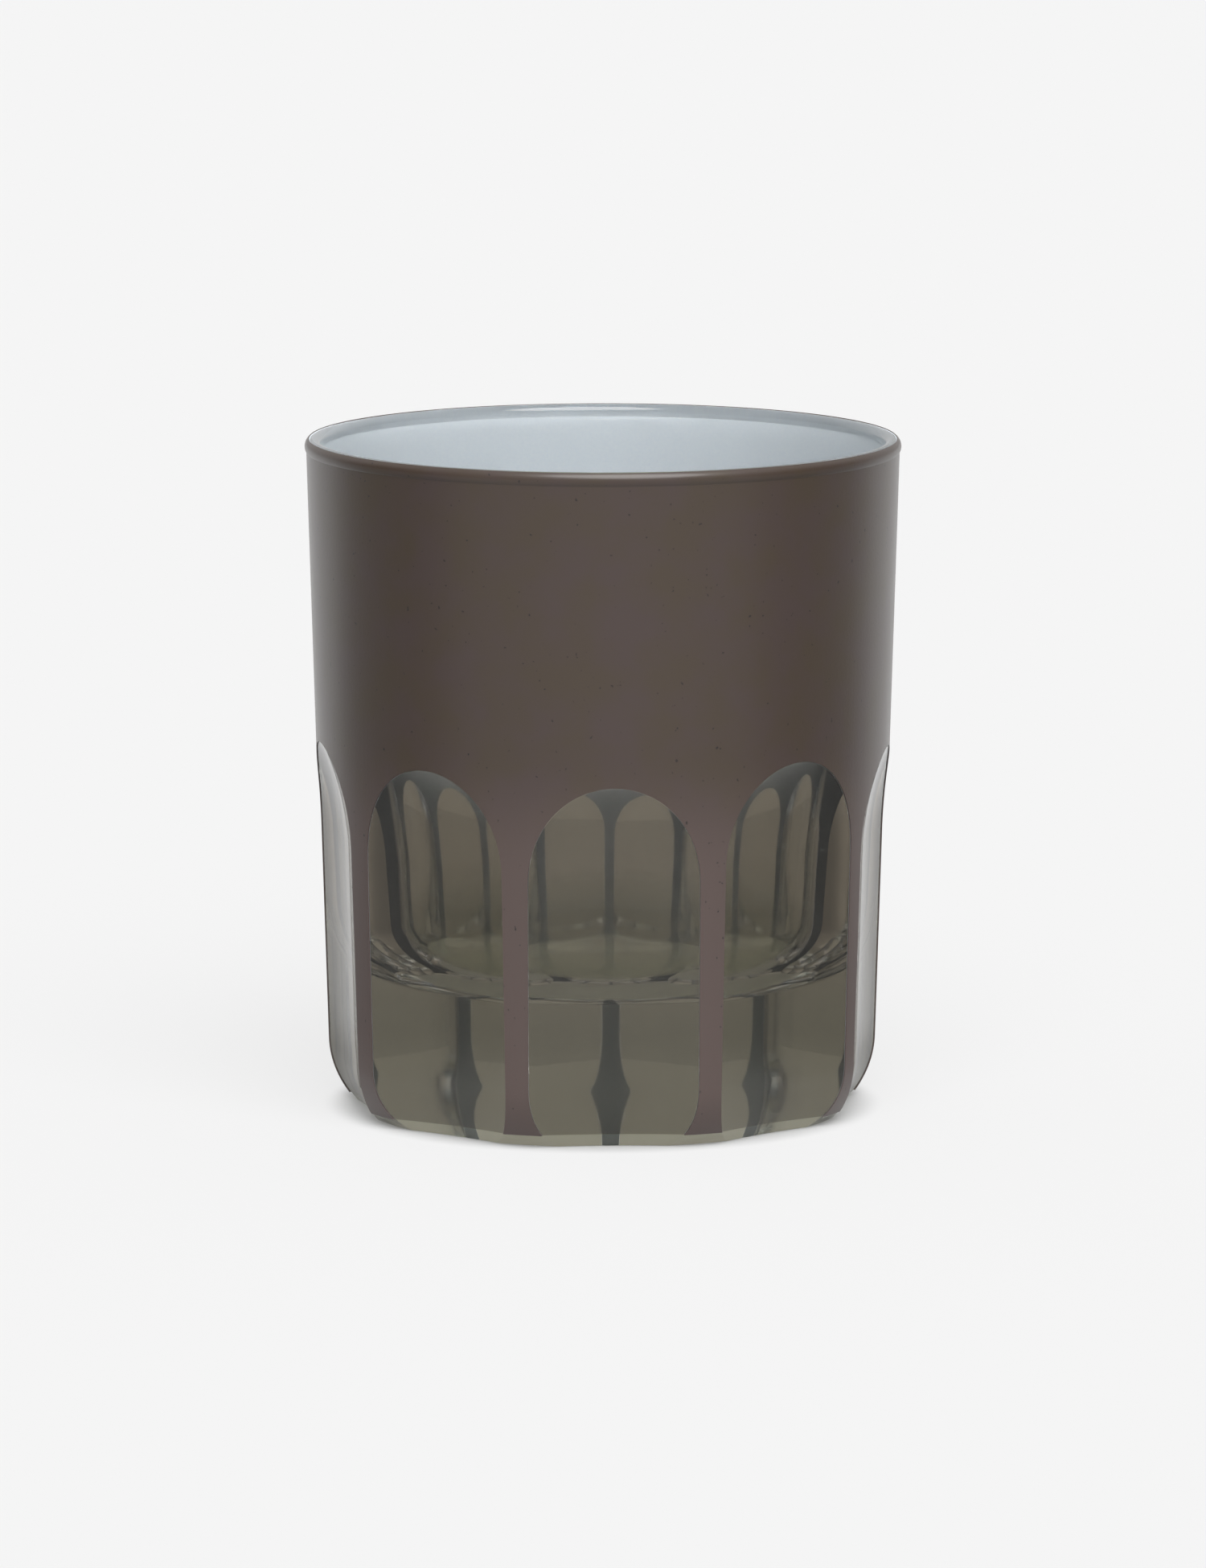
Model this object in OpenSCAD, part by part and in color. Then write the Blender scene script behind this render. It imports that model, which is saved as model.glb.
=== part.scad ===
// Whiskey tumbler: a heavy clear glass with nine hollow flutes ground into its
// lower half, a matt two-layer coat on the skin that the wheel left standing,
// and a smoke-grey lustre on the ground faces.
// Millimetres. The glass stands on z = 0 with its axis on Z.

/* [Glass] */
// Overall height, floor to top of the rim
glass_h = 95; // [85:1:105]
// Outside diameter at the rim, over the coats
rim_d = 84; // [83:0.5:85]
// Diameter of the rounded glass bead at the rim
bead_d = 2.2; // [2:0.1:2.6]
// How far the bead stands proud of the outer wall
bead_proud = 0.2; // [0.15:0.05:0.4]
// How far the bead stands proud of the inner wall
bead_inside = 0.15; // [0.1:0.05:0.3]
// Lean of the outer wall from upright, in degrees
wall_lean = 1.7; // [1:0.1:2.5]
// Lean of the inner wall from upright, in degrees
bore_lean = 4; // [3:0.1:4.2]
// Height of the inner floor, which is the depth of solid glass in the foot
floor_h = 19.2; // [12:0.1:24]
// Radius of the inner corner between floor and wall
floor_corner_r = 10.5; // [6:0.5:14]

/* [Heel] */
// Diameter of the flat foot that the glass stands on
foot_d = 69.6; // [67:0.2:71]
// Radius of the rounded heel between foot and wall
heel_r = 11.2; // [9:0.2:13]

/* [Flutes] */
// Number of flutes around the glass
flute_count = 9; // [9:1:10]
// Turn of the first flute from the front, in degrees
flute_turn = 2.3; // [-20:0.1:20]
// Depth of a flute at its middle
flute_depth = 2.7; // [2:0.1:2.8]
// Depth of a flute where it runs out over the foot
flute_foot_depth = 1; // [0.6:0.1:1.6]
// Height of the top of the first flute's arch
arch_h = 51.3; // [40:0.1:60]
// Radius of the hollow across a flute, given by the wheel's crowned face
hollow_r = 79; // [60:1:120]
// Radius of the grinding wheel, which shapes the arch
wheel_r = 36; // [30:1:45]

/* [Coats] */
// Thickness of the pale ground coat
ground_t = 0.1; // [0.1:0.05:0.3]
// Thickness of the matt colour coat
colour_t = 0.15; // [0.1:0.05:0.3]
// Thickness of the smoke lustre on the ground faces
lustre_t = 0.1; // [0.05:0.05:0.2]
// Mean height of the bare glass band left under the coats
bare_heel_h = 1.1; // [0.9:0.1:3]
// Tilt of the line where the coats stop, lower at the back, in degrees
bare_heel_tilt = 1.3; // [0:0.1:1.3]
// How far the coats go up round the bead, in degrees above its middle
coat_wrap = 55; // [30:1:60]

/* [Hidden] */
$fn = 144;

// The flutes were set out and ground by eye, so each arch ends a little higher
// or lower than the first, and some stand a degree or two off their even place.
arch_rise = [0, 2.1, 0.8, 1.2, 0.3, 1.5, 0.6, 1.6, 1.2, 0.9];
flute_shift = [0, 0, -1.1, -2.2, -2.2, -2.2, -2.2, -0.6, 0, 0];

// Outer wall: a cone whose radius at height z is skin_r + z * tan(wall_lean).
bead_r = bead_d / 2;
bead_z = glass_h - bead_r;
bead_x = rim_d / 2 - ground_t - colour_t - bead_r;
skin_r = bead_x + bead_r - bead_proud - bead_z * tan(wall_lean);

// Heel: an arc through the edge of the foot, tangent to the wall's cone.
foot_r = foot_d / 2;
heel_k = skin_r - heel_r / cos(wall_lean) - foot_r;
heel_root = sqrt(heel_r * heel_r - pow(heel_k * cos(wall_lean), 2));
heel_z = (heel_root - heel_k * sin(wall_lean)) * cos(wall_lean);
heel_x = foot_r + heel_k + heel_z * tan(wall_lean);
heel_top_z = heel_z - heel_r * sin(wall_lean);

// Bore: a cone that runs up into the inner side of the bead.
bore_top_r = bead_x - bead_r + bead_inside;
corner_z = floor_h + floor_corner_r;
corner_x = bore_top_r - (bead_z - corner_z) * tan(bore_lean) - floor_corner_r / cos(bore_lean);

// Flute: its deepest line runs parallel to the wall above the heel, then
// follows an arc that rises towards the skin as it nears the foot.
line_x = skin_r + heel_top_z * tan(wall_lean) - flute_depth / cos(wall_lean);
foot_in = line_x - (foot_r - flute_foot_depth);
heel_path_r = (heel_top_z * heel_top_z + foot_in * foot_in) / (2 * foot_in);
runout = sqrt(2 * wheel_r * flute_depth - flute_depth * flute_depth);
wheel_reach = 9;
flute_half_w = 15;
heel_sweep = 70;
arch_sweep = 45;

module outer_profile(grow) {
    wall_x = heel_x + (heel_r + grow) * cos(wall_lean);
    wall_z = heel_z - (heel_r + grow) * sin(wall_lean);
    top_x = wall_x + (bead_z - wall_z) * tan(wall_lean);
    polygon([[0, wall_z], [wall_x, wall_z], [top_x, bead_z], [0, bead_z]]);
    intersection() {
        translate([heel_x, heel_z]) circle(r = heel_r + grow);
        square([rim_d, heel_z]);
    }
    square([heel_x, heel_z]);
    translate([bead_x, bead_z]) circle(r = bead_r + grow);
}

module bore_profile() {
    wall_x = corner_x + floor_corner_r * cos(bore_lean);
    wall_z = corner_z - floor_corner_r * sin(bore_lean);
    difference() {
        union() {
            polygon([[0, floor_h], [corner_x, floor_h], [wall_x, wall_z],
                [bore_top_r, bead_z], [bead_x, glass_h + 1], [0, glass_h + 1]]);
            translate([corner_x, corner_z]) circle(r = floor_corner_r);
        }
        translate([bead_x, bead_z]) circle(r = bead_r);
    }
}

// The wheel's crowned face, as a flat shape: everything on the far side of an
// arc whose nearest point is x = 0.
module crown(depth) {
    intersection() {
        translate([hollow_r, 0]) circle(r = hollow_r, $fn = 720);
        translate([0, -flute_half_w]) square([depth, 2 * flute_half_w]);
    }
}

// Carries a flat shape along the path that the wheel took to grind one flute:
// up the heel, straight up the wall, then out through the skin at the arch.
module wheel_path(rise) {
    run_h = (arch_h + rise - heel_top_z) / cos(wall_lean) - runout;
    translate([line_x, 0, heel_top_z]) rotate([0, wall_lean, 0]) {
        linear_extrude(height = run_h) children();
        translate([-heel_path_r, 0, 0]) rotate([-90, 0, 0]) rotate_extrude(angle = heel_sweep)
            translate([heel_path_r, 0]) children();
        translate([wheel_r, 0, run_h]) rotate([-90, 0, 0]) rotate([0, 0, 180])
            rotate_extrude(angle = arch_sweep) translate([wheel_r, 0]) mirror([1, 0]) children();
    }
}

// Every flute, each with its own arch height.
module each_flute() {
    for (i = [0 : flute_count - 1])
        rotate([0, 0, -90 + flute_turn + i * 360 / flute_count + flute_shift[i]])
            wheel_path(arch_rise[i]) children();
}

// Everything above the tilted line where the coats and the lustre stop.
module above_bare_heel() {
    translate([0, 0, bare_heel_h]) rotate([-bare_heel_tilt, 0, 0])
        translate([-rim_d, -rim_d, 0]) cube([2 * rim_d, 2 * rim_d, glass_h + rim_d]);
}

// A layer over the skin, from one height above it to another, which goes part
// of the way up round the bead.
module skin_layer(inner, outer) {
    reach = 2 * bead_d;
    rotate_extrude() difference() {
        outer_profile(outer);
        outer_profile(inner);
        polygon([[0, bead_z], [bead_x, bead_z],
            [bead_x + reach * cos(coat_wrap), bead_z + reach * sin(coat_wrap)],
            [0, bead_z + reach * sin(coat_wrap)]]);
    }
}

module glass_body() {
    color("#c8cfc8") difference() {
        rotate_extrude() difference() {
            outer_profile(0);
            bore_profile();
        }
        each_flute() crown(wheel_reach);
    }
}

module ground_coat() {
    color("#b9c2c8") difference() {
        intersection() {
            skin_layer(0, ground_t);
            above_bare_heel();
        }
        each_flute() crown(wheel_reach);
    }
}

module colour_coat() {
    color("#5a514b") difference() {
        intersection() {
            skin_layer(ground_t, ground_t + colour_t);
            above_bare_heel();
        }
        each_flute() crown(wheel_reach);
    }
}

module smoke_lustre() {
    color("#6e685c") intersection() {
        rotate_extrude() intersection() {
            outer_profile(0);
            square([rim_d, glass_h]);
        }
        above_bare_heel();
        each_flute() difference() {
            crown(wheel_reach);
            translate([lustre_t, 0]) crown(wheel_reach);
        }
    }
}

glass_body();
ground_coat();
colour_coat();
smoke_lustre();
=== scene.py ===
from math import acos, asin, atan2, cos, pi, radians, sin, sqrt, tan

import bmesh
import bpy
from mathutils import Matrix, Vector


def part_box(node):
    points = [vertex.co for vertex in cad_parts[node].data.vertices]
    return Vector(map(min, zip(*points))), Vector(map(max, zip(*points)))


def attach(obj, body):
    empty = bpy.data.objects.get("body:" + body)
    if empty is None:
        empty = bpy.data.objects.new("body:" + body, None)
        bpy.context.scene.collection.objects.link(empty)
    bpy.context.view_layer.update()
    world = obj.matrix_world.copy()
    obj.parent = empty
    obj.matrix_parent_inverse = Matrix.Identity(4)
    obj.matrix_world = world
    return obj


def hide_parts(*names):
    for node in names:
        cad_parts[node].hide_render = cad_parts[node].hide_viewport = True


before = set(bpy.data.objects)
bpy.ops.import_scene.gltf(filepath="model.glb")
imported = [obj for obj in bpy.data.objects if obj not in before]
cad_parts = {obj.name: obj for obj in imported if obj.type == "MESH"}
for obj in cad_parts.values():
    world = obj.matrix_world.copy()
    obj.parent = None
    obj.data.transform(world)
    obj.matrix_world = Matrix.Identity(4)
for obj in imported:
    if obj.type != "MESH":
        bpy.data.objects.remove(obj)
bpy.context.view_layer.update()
MM = 0.001

# ---------------------------------------------------------------- camera
# A long lens some way off, looking slightly down on the glass, as a
# catalogue picture of drinkware is taken.
glass_low, glass_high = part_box("glass_body")
glass_h = glass_high.z - glass_low.z
coat_low, coat_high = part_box("colour_coat")
eye_distance = 1.4
eye_angle = radians(8.75)
aim_below_middle = 1.9 * MM

camera_data = bpy.data.cameras.new("camera")
camera_data.lens = 227.2
camera_data.sensor_width = 36
camera_data.clip_end = 50
camera = bpy.data.objects.new("camera", camera_data)
bpy.context.scene.collection.objects.link(camera)
middle = Vector((0, 0, glass_low.z + glass_h / 2))
camera.location = middle + eye_distance * Vector((0, -cos(eye_angle), sin(eye_angle)))
aim = middle - Vector((0, 0, aim_below_middle))
camera.rotation_euler = (aim - camera.location).to_track_quat("-Z", "Y").to_euler()
bpy.context.scene.camera = camera


# ---------------------------------------------------------------- studio
# What the glass mirrors and bends: a pale wall behind it, a greyer one behind
# the camera, a dark flag on each side, and a big softbox high in front. The
# camera itself sees a clean white backdrop.
def linear(code):
    """An sRGB hex colour as linear red, green, blue and alpha."""
    parts = [int(code[i:i + 2], 16) / 255 for i in (1, 3, 5)]
    return [p / 12.92 if p <= 0.04045 else ((p + 0.055) / 1.055) ** 2.4 for p in parts] + [1]


def add_node(tree, kind, settings=None, **links):
    """Adds a node with its settings, then links the sockets in links to its inputs.
    A number, or a number after an underscore, stands for the input of that number."""
    node = tree.nodes.new(kind)
    for name, value in (settings or {}).items():
        if isinstance(name, int) or name in node.inputs:
            node.inputs[name].default_value = value
        else:
            setattr(node, name, value)
    for name, source in links.items():
        tree.links.new(source, node.inputs[int(name[1:]) if name[1:].isdigit() else name])
    return node


def new_finish(name):
    """A material with nothing in its tree yet."""
    finish = bpy.data.materials.new(name)
    finish.use_nodes = True
    finish.node_tree.nodes.clear()
    return finish, finish.node_tree


sweep_white = linear("#f5f5f5")
back_wall = linear("#cecece")
front_wall = linear("#a8a8a8")
wall_turn = (0.2, -0.6)
flag_grey = linear("#3c3c3c")
flag_edge = (0.76, 0.99)
softbox_at = Vector((0.12, -0.6, 0.79)).normalized()
softbox_edge = (0.88, 0.93)
softbox_gain = 17.0

world = bpy.data.worlds.new("studio")
bpy.context.scene.world = world
world.use_nodes = True
sky = world.node_tree
sky.nodes.clear()
toward = add_node(sky, "ShaderNodeTexCoord")
axes = add_node(sky, "ShaderNodeSeparateXYZ", None, _0=toward.outputs["Generated"])
behind_camera = add_node(sky, "ShaderNodeMapRange", {
    "interpolation_type": "SMOOTHSTEP",
    "From Min": wall_turn[0],
    "From Max": wall_turn[1],
}, Value=axes.outputs["Y"])
walls = add_node(sky, "ShaderNodeMix", {"data_type": "RGBA", 6: back_wall, 7: front_wall},
    _0=behind_camera.outputs[0])
sideways = add_node(sky, "ShaderNodeMath", {"operation": "ABSOLUTE"}, _0=axes.outputs["X"])
flags = add_node(sky, "ShaderNodeMapRange", {
    "interpolation_type": "SMOOTHSTEP",
    "From Min": flag_edge[0],
    "From Max": flag_edge[1],
}, Value=sideways.outputs[0])
tone = add_node(sky, "ShaderNodeMix", {"data_type": "RGBA", 7: flag_grey},
    _0=flags.outputs[0], _6=walls.outputs[2])
facing = add_node(sky, "ShaderNodeVectorMath", {"operation": "DOT_PRODUCT", 1: softbox_at},
    _0=toward.outputs["Generated"])
softbox = add_node(sky, "ShaderNodeMapRange", {
    "interpolation_type": "SMOOTHSTEP",
    "From Min": softbox_edge[0],
    "From Max": softbox_edge[1],
    "To Min": 1.0,
    "To Max": softbox_gain,
}, Value=facing.outputs["Value"])

# Light that has come through the glass and met nothing matt on its way doesn't
# meet the softbox, which would leave hard glints all over the clear foot.
light_path = add_node(sky, "ShaderNodeLightPath")
bent = add_node(sky, "ShaderNodeMath", {"operation": "GREATER_THAN", 1: 1.5},
    _0=light_path.outputs["Transmission Depth"])
not_matt = add_node(sky, "ShaderNodeMath", {"operation": "LESS_THAN", 1: 0.5},
    _0=light_path.outputs["Diffuse Depth"])
softbox_off = add_node(sky, "ShaderNodeMath", {"operation": "MULTIPLY"},
    _0=bent.outputs[0], _1=not_matt.outputs[0])
strength = add_node(sky, "ShaderNodeMix", {3: 1.0},
    _0=softbox_off.outputs[0], _2=softbox.outputs[0])
studio = add_node(sky, "ShaderNodeBackground", None,
    Color=tone.outputs[2], Strength=strength.outputs[0])
backdrop = add_node(sky, "ShaderNodeBackground", {"Color": sweep_white})
surround = add_node(sky, "ShaderNodeMixShader", None,
    _0=light_path.outputs["Is Camera Ray"], _1=studio.outputs[0], _2=backdrop.outputs[0])
add_node(sky, "ShaderNodeOutputWorld", None, Surface=surround.outputs[0])

# The sweep is matt paper. What the glass gets from it is painted: one even tone
# round the foot, darker as painted shade, a faint glow all over as painted light
# for light seeping under, then painted shade that makes it darker in front of
# the glass than behind it, and darkest beside the flags. Where the camera sees
# the paper, a glow lifts it to white, apart from where the foot stands.
paper_white = 0.56
painted_front_shade = 0.7
front_edge = (-0.5, 0.3)
painted_flag_shade = 0.14
painted_foot_shade = 0.4
even_r = 44 * MM
painted_seep_glow = 0.17
floor_glow = 0.81
floor_paint = 0.12
covered_r = 34.4 * MM
clean_r = 40 * MM
air_gap = 0.05 * MM
floor_half = 20
floor_mesh = bpy.data.meshes.new("floor")
build = bmesh.new()
bmesh.ops.create_grid(build, x_segments=1, y_segments=1, size=floor_half)
bmesh.ops.translate(build, vec=(0, 0, glass_low.z - air_gap), verts=build.verts)
build.to_mesh(floor_mesh)
build.free()
floor = bpy.data.objects.new("floor", floor_mesh)
bpy.context.scene.collection.objects.link(floor)
white_sweep, paper = new_finish("white sweep")
place = add_node(paper, "ShaderNodeTexCoord")
away = add_node(paper, "ShaderNodeVectorMath", {"operation": "LENGTH"},
    _0=place.outputs["Object"])
past_foot = add_node(paper, "ShaderNodeMapRange", {
    "interpolation_type": "SMOOTHSTEP",
    "From Min": covered_r,
    "From Max": clean_r,
}, Value=away.outputs["Value"])
shadowed = add_node(paper, "ShaderNodeBsdfDiffuse", {"Color": [floor_paint] * 3 + [1]})
glow = add_node(paper, "ShaderNodeEmission", {"Color": sweep_white, "Strength": floor_glow})
lifted = add_node(paper, "ShaderNodeAddShader", None,
    _0=shadowed.outputs[0], _1=glow.outputs[0])
bearing = add_node(paper, "ShaderNodeVectorMath", {"operation": "NORMALIZE"},
    _0=place.outputs["Object"])
compass = add_node(paper, "ShaderNodeSeparateXYZ", None, _0=bearing.outputs[0])
sideways = add_node(paper, "ShaderNodeMath", {"operation": "ABSOLUTE"},
    _0=compass.outputs["X"])
# Painted shade: the paper is darker beside the flags and in front of the glass.
beside_flags = add_node(paper, "ShaderNodeMapRange", {
    "interpolation_type": "SMOOTHSTEP",
    "From Min": flag_edge[0],
    "From Max": flag_edge[1],
    "To Min": paper_white,
    "To Max": painted_flag_shade,
}, Value=sideways.outputs[0])
in_front = add_node(paper, "ShaderNodeMapRange", {
    "interpolation_type": "SMOOTHSTEP",
    "From Min": front_edge[0],
    "From Max": front_edge[1],
    "To Min": painted_front_shade,
    "To Max": 1.0,
}, Value=compass.outputs["Y"])
open_paper = add_node(paper, "ShaderNodeMath", {"operation": "MULTIPLY"},
    _0=beside_flags.outputs[0], _1=in_front.outputs[0])
beyond = add_node(paper, "ShaderNodeMapRange", {
    "interpolation_type": "SMOOTHSTEP",
    "From Min": even_r,
    "From Max": 2 * even_r,
}, Value=away.outputs["Value"])
# Painted shade: one darker tone on the paper round the foot.
paper_tone = add_node(paper, "ShaderNodeMix", {2: painted_foot_shade},
    _0=beyond.outputs[0], _3=open_paper.outputs[0])
matt = add_node(paper, "ShaderNodeBsdfDiffuse", None, Color=paper_tone.outputs[0])
# Painted light: a faint glow over all the paper, for light seeping under the foot.
seep = add_node(paper, "ShaderNodeEmission", {"Color": sweep_white, "Strength": painted_seep_glow})
unlifted = add_node(paper, "ShaderNodeAddShader", None,
    _0=matt.outputs[0], _1=seep.outputs[0])
in_view = add_node(paper, "ShaderNodeMixShader", None,
    _0=past_foot.outputs[0], _1=unlifted.outputs[0], _2=lifted.outputs[0])
light_path = add_node(paper, "ShaderNodeLightPath")
sheet = add_node(paper, "ShaderNodeMixShader", None,
    _0=light_path.outputs["Is Camera Ray"], _1=unlifted.outputs[0], _2=in_view.outputs[0])
add_node(paper, "ShaderNodeOutputMaterial", None, Surface=sheet.outputs[0])
floor_mesh.materials.append(white_sweep)

bpy.context.scene.view_settings.view_transform = "Standard"


# ---------------------------------------------------------------- glass body
# One piece of clear glass: a thick foot, a tapered bore and a fire-polished
# rim. The outside was turned true, then nine hollow flutes were ground into
# it with a crowned wheel, each by eye, so their arches end at odd heights.

# Sizes in millimetres, over the coats at the rim and bare everywhere else.
rim_r = (coat_high.x - coat_low.x) / 2 / MM
top_z = glass_h / MM
bead_r = 1.1
bead_proud = 0.2
bead_inside = 0.15
ground_t = 0.1
colour_t = 0.15
coat_wrap = radians(55)
wall_lean = radians(1.7)
bore_lean = radians(4)
floor_h = 19.2
floor_corner_r = 10.5
foot_r = 34.8
heel_r = 11.2
bare_heel_h = 1.1
bare_heel_tilt = radians(1.3)
steps_round = 360
heel_steps = 16
bead_steps = (12, 20)
corner_steps = 20
merge_gap = 1e-5
sharp_angle = radians(11)

bead_z = top_z - bead_r
bead_x = rim_r - ground_t - colour_t - bead_r
skin_r = bead_x + bead_r - bead_proud - bead_z * tan(wall_lean)

# The heel's arc goes through the edge of the foot and runs into the wall.
heel_k = skin_r - heel_r / cos(wall_lean) - foot_r
heel_root = sqrt(heel_r ** 2 - (heel_k * cos(wall_lean)) ** 2)
heel_z = (heel_root - heel_k * sin(wall_lean)) * cos(wall_lean)
heel_x = foot_r + heel_k + heel_z * tan(wall_lean)
heel_top_z = heel_z - heel_r * sin(wall_lean)


def new_piece(name, build, finishes=()):
    """Turns a bmesh in millimetres into a piece in metres, smooth but for its sharp edges."""
    bmesh.ops.scale(build, vec=(MM, MM, MM), verts=build.verts)
    mesh = bpy.data.meshes.new(name)
    build.to_mesh(mesh)
    build.free()
    piece = bpy.data.objects.new(name, mesh)
    bpy.context.scene.collection.objects.link(piece)
    for finish in finishes:
        mesh.materials.append(finish)
    mesh.shade_smooth()
    mesh.set_sharp_from_angle(angle=sharp_angle)
    return piece


def line_to(build, end, x, z):
    """Draws a straight edge from the vertex end to x, z in the section."""
    tip = bmesh.ops.extrude_vert_indiv(build, verts=[end])["verts"][0]
    tip.co = (x, 0, z)
    return tip


def arc_to(build, end, x, z, angle, steps):
    """Carries the vertex end round the centre x, z, anticlockwise in the section."""
    done = bmesh.ops.spin(build, geom=[end], cent=(x, 0, z), axis=(0, -1, 0), angle=angle,
        steps=steps, use_merge=False)
    return [v for v in done["geom_last"] if isinstance(v, bmesh.types.BMVert)][0]


# Where the section's arcs start and end, and the bore's rounded lower corner.
heel_start = atan2(-heel_z, foot_r - heel_x)
bead_meets_skin = acos(((skin_r + bead_z * tan(wall_lean) - bead_x) * cos(wall_lean)) / bead_r)
corner_z = floor_h + floor_corner_r
bore_r = bead_x - bead_r + bead_inside
corner_x = bore_r - (bead_z - corner_z) * tan(bore_lean) - floor_corner_r / cos(bore_lean)
bead_meets_bore = acos((bead_x - bore_r) * cos(bore_lean) / bead_r)

# The turned glass: its section is drawn from the middle of the foot up the
# outside, over the bead and down the bore, then spun into a solid.
blank = bmesh.new()
pen = blank.verts.new((0, 0, 0))
pen = line_to(blank, pen, foot_r, 0)
pen = arc_to(blank, pen, heel_x, heel_z, -wall_lean - heel_start, heel_steps)
bead_start = -wall_lean - bead_meets_skin
pen = line_to(blank, pen, bead_x + bead_r * cos(bead_start), bead_z + bead_r * sin(bead_start))
pen = arc_to(blank, pen, bead_x, bead_z, coat_wrap - bead_start, bead_steps[0])
coat_edge_z = pen.co.z
pen = arc_to(blank, pen, bead_x, bead_z, pi + bore_lean + bead_meets_bore - coat_wrap,
    bead_steps[1])
pen = line_to(blank, pen, corner_x + floor_corner_r * cos(bore_lean),
    corner_z - floor_corner_r * sin(bore_lean))
pen = arc_to(blank, pen, corner_x, corner_z, -(pi / 2 - bore_lean), corner_steps)
pen = line_to(blank, pen, 0, floor_h)
bmesh.ops.spin(blank, geom=blank.verts[:] + blank.edges[:], cent=(0, 0, 0), axis=(0, 0, 1),
    angle=2 * pi, steps=steps_round, use_merge=True)
bmesh.ops.remove_doubles(blank, verts=blank.verts, dist=merge_gap)
bmesh.ops.recalc_face_normals(blank, faces=blank.faces)

# The flutes, counted round from the front. Each has its own turn off its even
# place, in degrees, and its own rise of the arch above the first one's.
flute_count = 9
flute_turn = 2.3
flute_shift = [0, 0, -1.1, -2.2, -2.2, -2.2, -2.2, -0.6, 0]
flute_depth = 2.7
flute_foot_depth = 1
arch_h = 51.3
arch_rise = [0, 2.1, 0.8, 1.2, 0.3, 1.5, 0.6, 1.6, 1.2]
hollow_r = 79
wheel_r = 36
half_w = 13.2
reach = 8
heel_sweep = radians(70)
arch_sweep = radians(40)
crown_steps = 52
wheel_steps = 36

# A flute's deepest line runs parallel to the wall, then bends inwards over the
# heel. At the top it leaves the skin along the edge of the wheel.
line_x = skin_r + heel_top_z * tan(wall_lean) - flute_depth / cos(wall_lean)
foot_in = line_x - (foot_r - flute_foot_depth)
heel_path_r = (heel_top_z ** 2 + foot_in ** 2) / (2 * foot_in)
runout = sqrt(2 * wheel_r * flute_depth - flute_depth ** 2)


def region(face):
    """A face with its edges and vertices, which is what spin carries along."""
    return [face] + face.edges[:] + face.verts[:]


def end_face(done):
    """The face at the far end of what an extrusion has made."""
    return [f for f in done["geom"] if isinstance(f, bmesh.types.BMFace)][0]


def ground_flute(rise):
    """What the wheel takes away for one flute: heel, straight and arch, as one solid.
    It is made with its deepest line upright, then leaned like the wall."""
    cut = bmesh.new()
    across = asin(half_w / hollow_r)
    edge = cut.verts.new((hollow_r - hollow_r * cos(across), -half_w, 0))
    bmesh.ops.spin(cut, geom=[edge], cent=(hollow_r, 0, 0), axis=(0, 0, 1), angle=-2 * across,
        steps=crown_steps, use_merge=False)
    cut.verts.ensure_lookup_table()
    crown = sorted(cut.verts, key=lambda v: v.co.y)
    back = [cut.verts.new((reach, half_w, 0)), cut.verts.new((reach, -half_w, 0))]
    section = cut.faces.new(crown + back)
    run_h = (arch_h + rise - heel_top_z) / cos(wall_lean) - runout
    up = bmesh.ops.extrude_face_region(cut, geom=[section])
    top = end_face(up)
    bmesh.ops.translate(cut, vec=(0, 0, run_h), verts=top.verts)
    bmesh.ops.spin(cut, geom=region(top), cent=(wheel_r, 0, run_h), axis=(0, 1, 0),
        angle=arch_sweep, steps=wheel_steps, use_merge=False)
    foot = min(cut.faces, key=lambda f: f.calc_center_median().z)
    bmesh.ops.spin(cut, geom=region(foot), cent=(-heel_path_r, 0, 0), axis=(0, 1, 0),
        angle=heel_sweep, steps=wheel_steps, use_merge=False)
    bmesh.ops.rotate(cut, cent=(0, 0, 0), matrix=Matrix.Rotation(wall_lean, 3, "Y"),
        verts=cut.verts)
    bmesh.ops.translate(cut, vec=(line_x, 0, heel_top_z), verts=cut.verts)
    bmesh.ops.recalc_face_normals(cut, faces=cut.faces)
    return cut


# What lies on each face of the glass: nothing, the two coats, or the lustre.
# The coats lie on every face of the blank that looks outwards, up to the edge
# that they have on the bead.
BARE, COATED, LUSTRED = range(3)
looks_out = 0.1
blank.normal_update()
for f in blank.faces:
    centre = f.calc_center_median()
    outside = f.normal.to_2d().dot(centre.to_2d()) > looks_out
    f.material_index = COATED if outside and centre.z < coat_edge_z else BARE

flutes = bmesh.new()
wheel_marks = bpy.data.meshes.new("wheel marks")
for i in range(flute_count):
    flute = ground_flute(arch_rise[i])
    bearing = flute_turn - 90 + 360 / flute_count * i + flute_shift[i]
    turn = Matrix.Rotation(radians(bearing), 3, "Z")
    bmesh.ops.rotate(flute, cent=(0, 0, 0), matrix=turn, verts=flute.verts)
    flute.to_mesh(wheel_marks)
    flute.free()
    flutes.from_mesh(wheel_marks)
for f in flutes.faces:
    f.material_index = LUSTRED
wheels = new_piece("wheels", flutes)
turned = new_piece("turned", blank)

# The cut marks each face that the wheel has left.
grind = turned.modifiers.new("flutes", "BOOLEAN")
grind.object = wheels
grind.solver = "MANIFOLD"
bpy.context.view_layer.update()
cut_mesh = bpy.data.meshes.new_from_object(
    turned.evaluated_get(bpy.context.evaluated_depsgraph_get()))
bpy.data.objects.remove(turned)
bpy.data.objects.remove(wheels)

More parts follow.
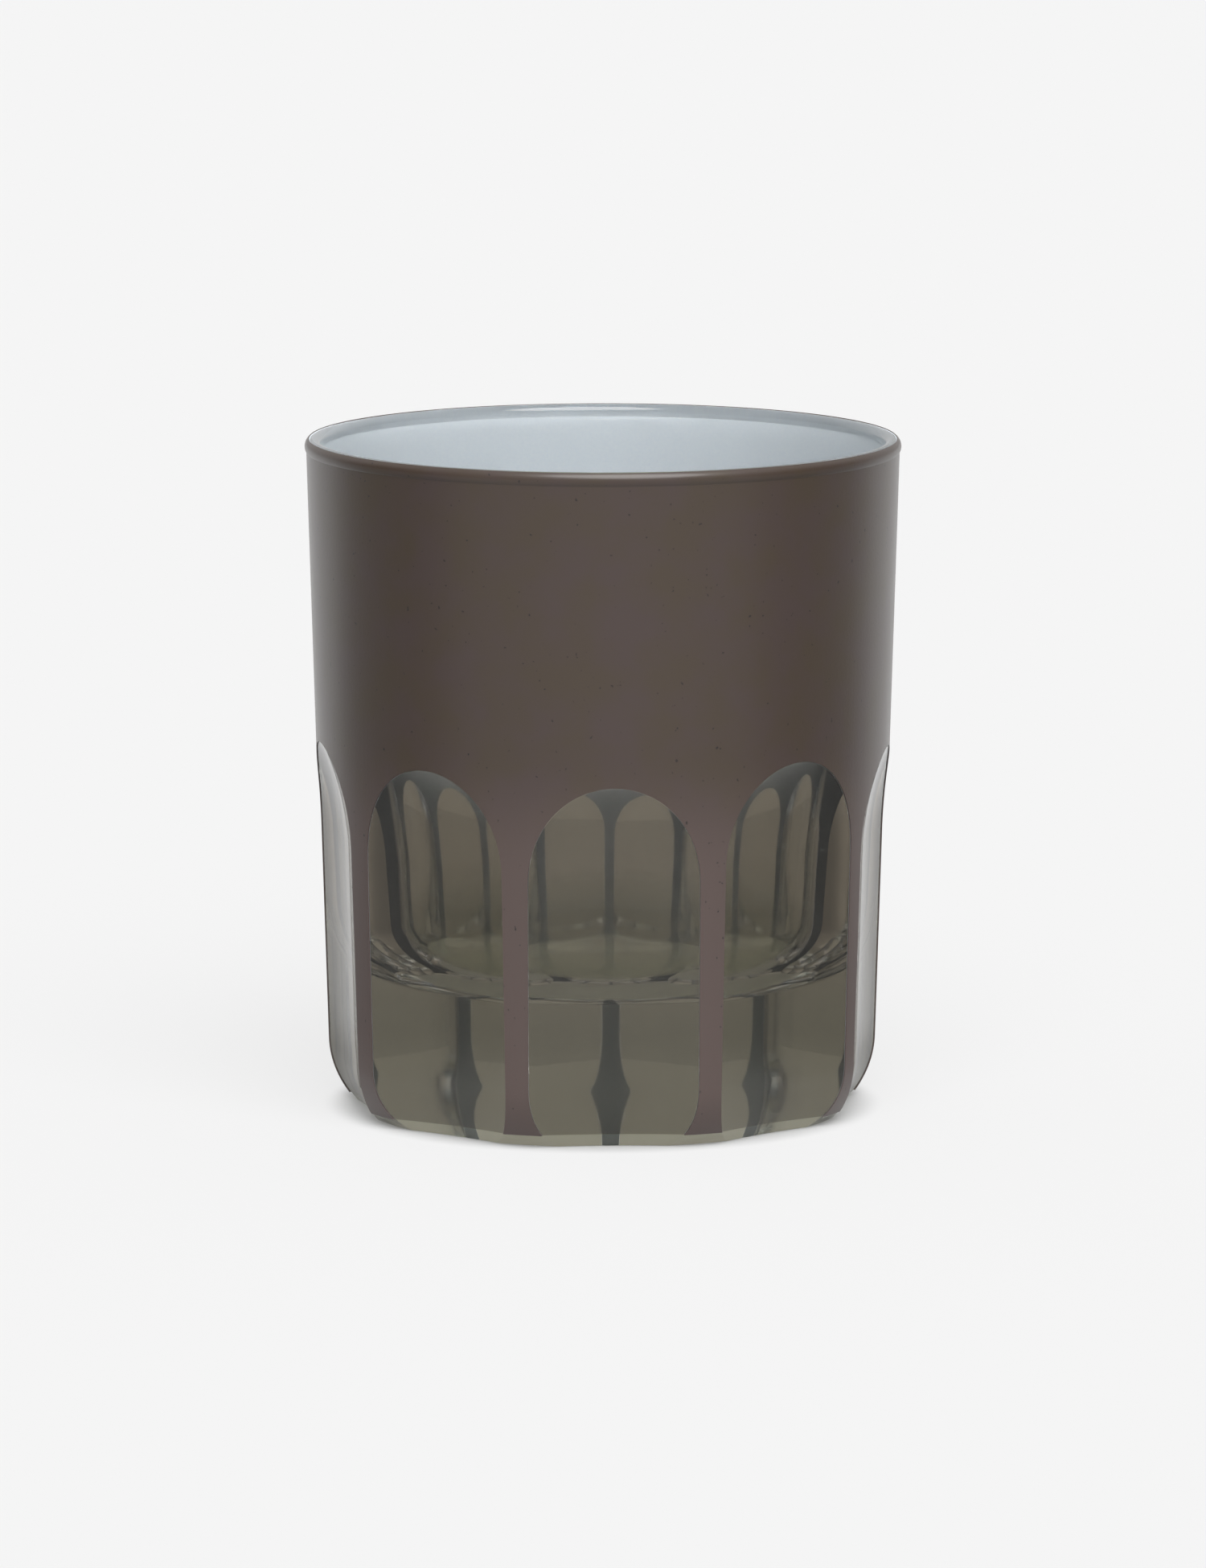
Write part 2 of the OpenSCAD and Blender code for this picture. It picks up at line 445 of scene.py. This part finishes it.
# The coats and the lustre stop at a line just above the foot, which is tilted:
# the band of bare glass under it is tallest at the front.
glass = bmesh.new()
glass.from_mesh(cut_mesh)
bmesh.ops.scale(glass, vec=(1 / MM, 1 / MM, 1 / MM), verts=glass.verts)
bmesh.ops.bisect_plane(glass, geom=glass.verts[:] + glass.edges[:] + glass.faces[:],
    dist=merge_gap, plane_co=(0, 0, bare_heel_h),
    plane_no=(0, sin(bare_heel_tilt), cos(bare_heel_tilt)))
for f in glass.faces:
    centre = f.calc_center_median()
    if centre.z + centre.y * tan(bare_heel_tilt) < bare_heel_h:
        f.material_index = BARE

# Flint glass, fire-polished: mirror-smooth and all but colourless, with a faint
# straw cast that shows only in the thick foot. Pressing and cooling leave
# faint waves in it some millimetres apart.
wave_size = 9 * MM
wave_height = 0.0008 * MM
flint_glass, tree = new_finish("flint glass, fire-polished")
place = add_node(tree, "ShaderNodeTexCoord")
wave = add_node(tree, "ShaderNodeTexNoise", {"Scale": 1 / wave_size, "Detail": 1.0},
    Vector=place.outputs["Object"])
lens = add_node(tree, "ShaderNodeBump", {"Distance": wave_height}, Height=wave.outputs[0])
height = add_node(tree, "ShaderNodeSeparateXYZ", None, _0=place.outputs["Object"])
thin_wall = add_node(tree, "ShaderNodeMapRange", {
    "interpolation_type": "SMOOTHSTEP",
    "From Min": floor_h * MM,
    "From Max": (floor_h + floor_corner_r) * MM,
}, Value=height.outputs["Z"])
cast = add_node(tree, "ShaderNodeMix", {
    "data_type": "RGBA",
    6: linear("#dee0cc"),
    7: linear("#fbfdfb"),
}, _0=thin_wall.outputs[0])
body = add_node(tree, "ShaderNodeBsdfPrincipled", {
    "Roughness": 0.0,
    "IOR": 1.52,
    "Transmission Weight": 1.0,
}, **{"Base Color": cast.outputs[2], "Normal": lens.outputs[0]})
add_node(tree, "ShaderNodeOutputMaterial", None, Surface=body.outputs[0])

# Where a coat or the lustre is fused to the glass there is no air between
# them, so light goes straight through the joint.
fused_joint, tree = new_finish("fused joint")
through = add_node(tree, "ShaderNodeBsdfTransparent", {"Color": [1, 1, 1, 1]})
add_node(tree, "ShaderNodeOutputMaterial", None, Surface=through.outputs[0])

# Metal-salt lustre: clear, glossy and brown, turning olive over the foot. It
# takes the same share of the light each time that light goes through it. The
# polished grinding under it still blurs what is far behind a little.
olive_below = 16 * MM
brown_above = 26 * MM
smoke_film, tree = new_finish("smoke lustre, fired")
place = add_node(tree, "ShaderNodeTexCoord")
height = add_node(tree, "ShaderNodeSeparateXYZ", None, _0=place.outputs["Object"])
drift = add_node(tree, "ShaderNodeMapRange", {
    "interpolation_type": "SMOOTHSTEP",
    "From Min": olive_below,
    "From Max": brown_above,
}, Value=height.outputs["Z"])
tint = add_node(tree, "ShaderNodeMix", {
    "data_type": "RGBA",
    6: linear("#7b7665"),
    7: linear("#857b6b"),
}, _0=drift.outputs[0])
body = add_node(tree, "ShaderNodeBsdfPrincipled", {
    "Roughness": 0.08,
    "IOR": 1.52,
    "Transmission Weight": 1.0,
}, **{"Base Color": tint.outputs[2]})
add_node(tree, "ShaderNodeOutputMaterial", None, Surface=body.outputs[0])

skin = glass.copy()
glass_body = new_piece("cut_glass_body", glass, [flint_glass, fused_joint, fused_joint])
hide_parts("glass_body")
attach(glass_body, "root")


# ---------------------------------------------------------------- ground coat
# A pale blue-grey enamel, sprayed and fired on the outside of the turned
# glass before the flutes were ground. It is what shows through the wall from
# inside, and it is left only on the skin between the flutes.
joint_gap = 0.004


def layer(surface, start, thickness, under=0):
    """A film of some thickness over the faces marked with surface, which starts at a
    height above them. Its inner faces and its rim get the finish numbered under."""
    film = skin.copy()
    others = [f for f in film.faces if f.material_index != surface]
    bmesh.ops.delete(film, geom=others, context="FACES")
    film.normal_update()
    for v in film.verts:
        v.co += v.normal * (start + thickness)
    outer = film.faces[:]
    bmesh.ops.solidify(film, geom=outer, thickness=thickness)
    for f in film.faces:
        f.material_index = under
    for f in outer:
        f.material_index = 0
    return film


# Fired enamel, matt: a fine even grain of pigment in glass flux. It is painted
# darker from the rim down towards the flutes, as painted shade for the bore,
# which gets less light low down.
enamel_grain = 0.35 * MM
lit_above = 70 * MM
shade_below = 46 * MM
pale_enamel, tree = new_finish("pale blue-grey enamel, fired")
place = add_node(tree, "ShaderNodeTexCoord")
grain = add_node(tree, "ShaderNodeTexNoise", {"Scale": 1 / enamel_grain, "Detail": 3.0},
    Vector=place.outputs["Object"])
shade = add_node(tree, "ShaderNodeMix", {
    "data_type": "RGBA",
    6: linear("#ecf3fc"),
    7: linear("#f6fbff"),
}, _0=grain.outputs[0])
height = add_node(tree, "ShaderNodeSeparateXYZ", None, _0=place.outputs["Object"])
bore_lit = add_node(tree, "ShaderNodeMapRange", {
    "interpolation_type": "SMOOTHSTEP",
    "From Min": shade_below,
    "From Max": lit_above,
}, Value=height.outputs["Z"])
# Painted shade: darker low down, where less light reaches the bore.
shaded_enamel = add_node(tree, "ShaderNodeMix", {"data_type": "RGBA", 6: linear("#8a8f96")},
    _0=bore_lit.outputs[0], _7=shade.outputs[2])
body = add_node(tree, "ShaderNodeBsdfPrincipled", {"Roughness": 0.6, "IOR": 1.5},
    **{"Base Color": shaded_enamel.outputs[2]})
add_node(tree, "ShaderNodeOutputMaterial", None, Surface=body.outputs[0])

ground_coat = new_piece("enamel_ground_coat", layer(COATED, joint_gap, ground_t), [pale_enamel])
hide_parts("ground_coat")
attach(ground_coat, "root")


# ---------------------------------------------------------------- colour coat
# The matt taupe lacquer over the ground coat, sprayed in the same way and cut
# through by the same wheel. It gives the glass its colour from outside.

# Sprayed lacquer, matt: brown with a drift towards purple and towards olive,
# more purple low down on the ribs, and paler there as painted light standing in
# for light thrown up from the floor. It has a fine orange-peel texture and a few
# dark specks of dust.
drift_size = 7 * MM
peel_size = 0.5 * MM
peel_height = 0.012 * MM
dust_size = 0.7 * MM
dust_edge = (0.74, 0.78)
purple_at = 0.35
olive_at = 0.65
bounce_lit_below = 38 * MM
bounce_gone_above = 56 * MM
taupe_lacquer, tree = new_finish("taupe lacquer, sprayed matt")
place = add_node(tree, "ShaderNodeTexCoord")
drift = add_node(tree, "ShaderNodeTexNoise", {"Scale": 1 / drift_size, "Detail": 4.0},
    Vector=place.outputs["Object"])
tones = add_node(tree, "ShaderNodeValToRGB", None, Fac=drift.outputs[0])
tones.color_ramp.elements[0].position = purple_at
tones.color_ramp.elements[0].color = linear("#40332f")
tones.color_ramp.elements[1].position = olive_at
tones.color_ramp.elements[1].color = linear("#3f3327")
peel = add_node(tree, "ShaderNodeTexNoise", {"Scale": 1 / peel_size, "Detail": 2.0},
    Vector=place.outputs["Object"])
bumps = add_node(tree, "ShaderNodeBump", {"Distance": peel_height}, Height=peel.outputs[0])
height = add_node(tree, "ShaderNodeSeparateXYZ", None, _0=place.outputs["Object"])
# Painted light: paler and more purple low down, the paleness standing in for light thrown up
# from the floor.
bounce_fade = add_node(tree, "ShaderNodeMapRange", {
    "interpolation_type": "SMOOTHSTEP",
    "From Min": bounce_lit_below,
    "From Max": bounce_gone_above,
}, Value=height.outputs["Z"])
coat_tone = add_node(tree, "ShaderNodeMix", {"data_type": "RGBA", 6: linear("#51433f")},
    _0=bounce_fade.outputs[0], _7=tones.outputs[0])
dust = add_node(tree, "ShaderNodeTexNoise", {"Scale": 1 / dust_size, "Detail": 1.0},
    Vector=place.outputs["Object"])
specks = add_node(tree, "ShaderNodeMapRange", {
    "From Min": dust_edge[0],
    "From Max": dust_edge[1],
}, Value=dust.outputs[0])
dusted = add_node(tree, "ShaderNodeMix", {"data_type": "RGBA", 7: linear("#1c1614")},
    _0=specks.outputs[0], _6=coat_tone.outputs[2])
body = add_node(tree, "ShaderNodeBsdfPrincipled", {
    "Roughness": 0.45,
    "IOR": 1.5,
    "Coat Weight": 0.36,
    "Coat Roughness": 0.15,
}, **{"Base Color": dusted.outputs[2], "Normal": bumps.outputs[0]})
add_node(tree, "ShaderNodeOutputMaterial", None, Surface=body.outputs[0])

colour_coat = new_piece("taupe_colour_coat",
    layer(COATED, 2 * joint_gap + ground_t, colour_t - 2 * joint_gap), [taupe_lacquer])
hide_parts("colour_coat")
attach(colour_coat, "root")


# ---------------------------------------------------------------- smoke lustre
# A thin smoke-brown film fired on the ground faces of the flutes. The glass
# under it is clear, so the film gives the windows nearly all their colour.
lustre_t = 0.1

smoke_lustre = new_piece("smoke_lustre_film",
    layer(LUSTRED, joint_gap, lustre_t, under=1), [smoke_film, fused_joint])
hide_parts("smoke_lustre")
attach(smoke_lustre, "root")

# Light in the solid foot crosses many joints before it comes out.
light_paths = bpy.context.scene.cycles
light_paths.max_bounces = 32
light_paths.glossy_bounces = 24
light_paths.transmission_bounces = 32
light_paths.transparent_max_bounces = 64
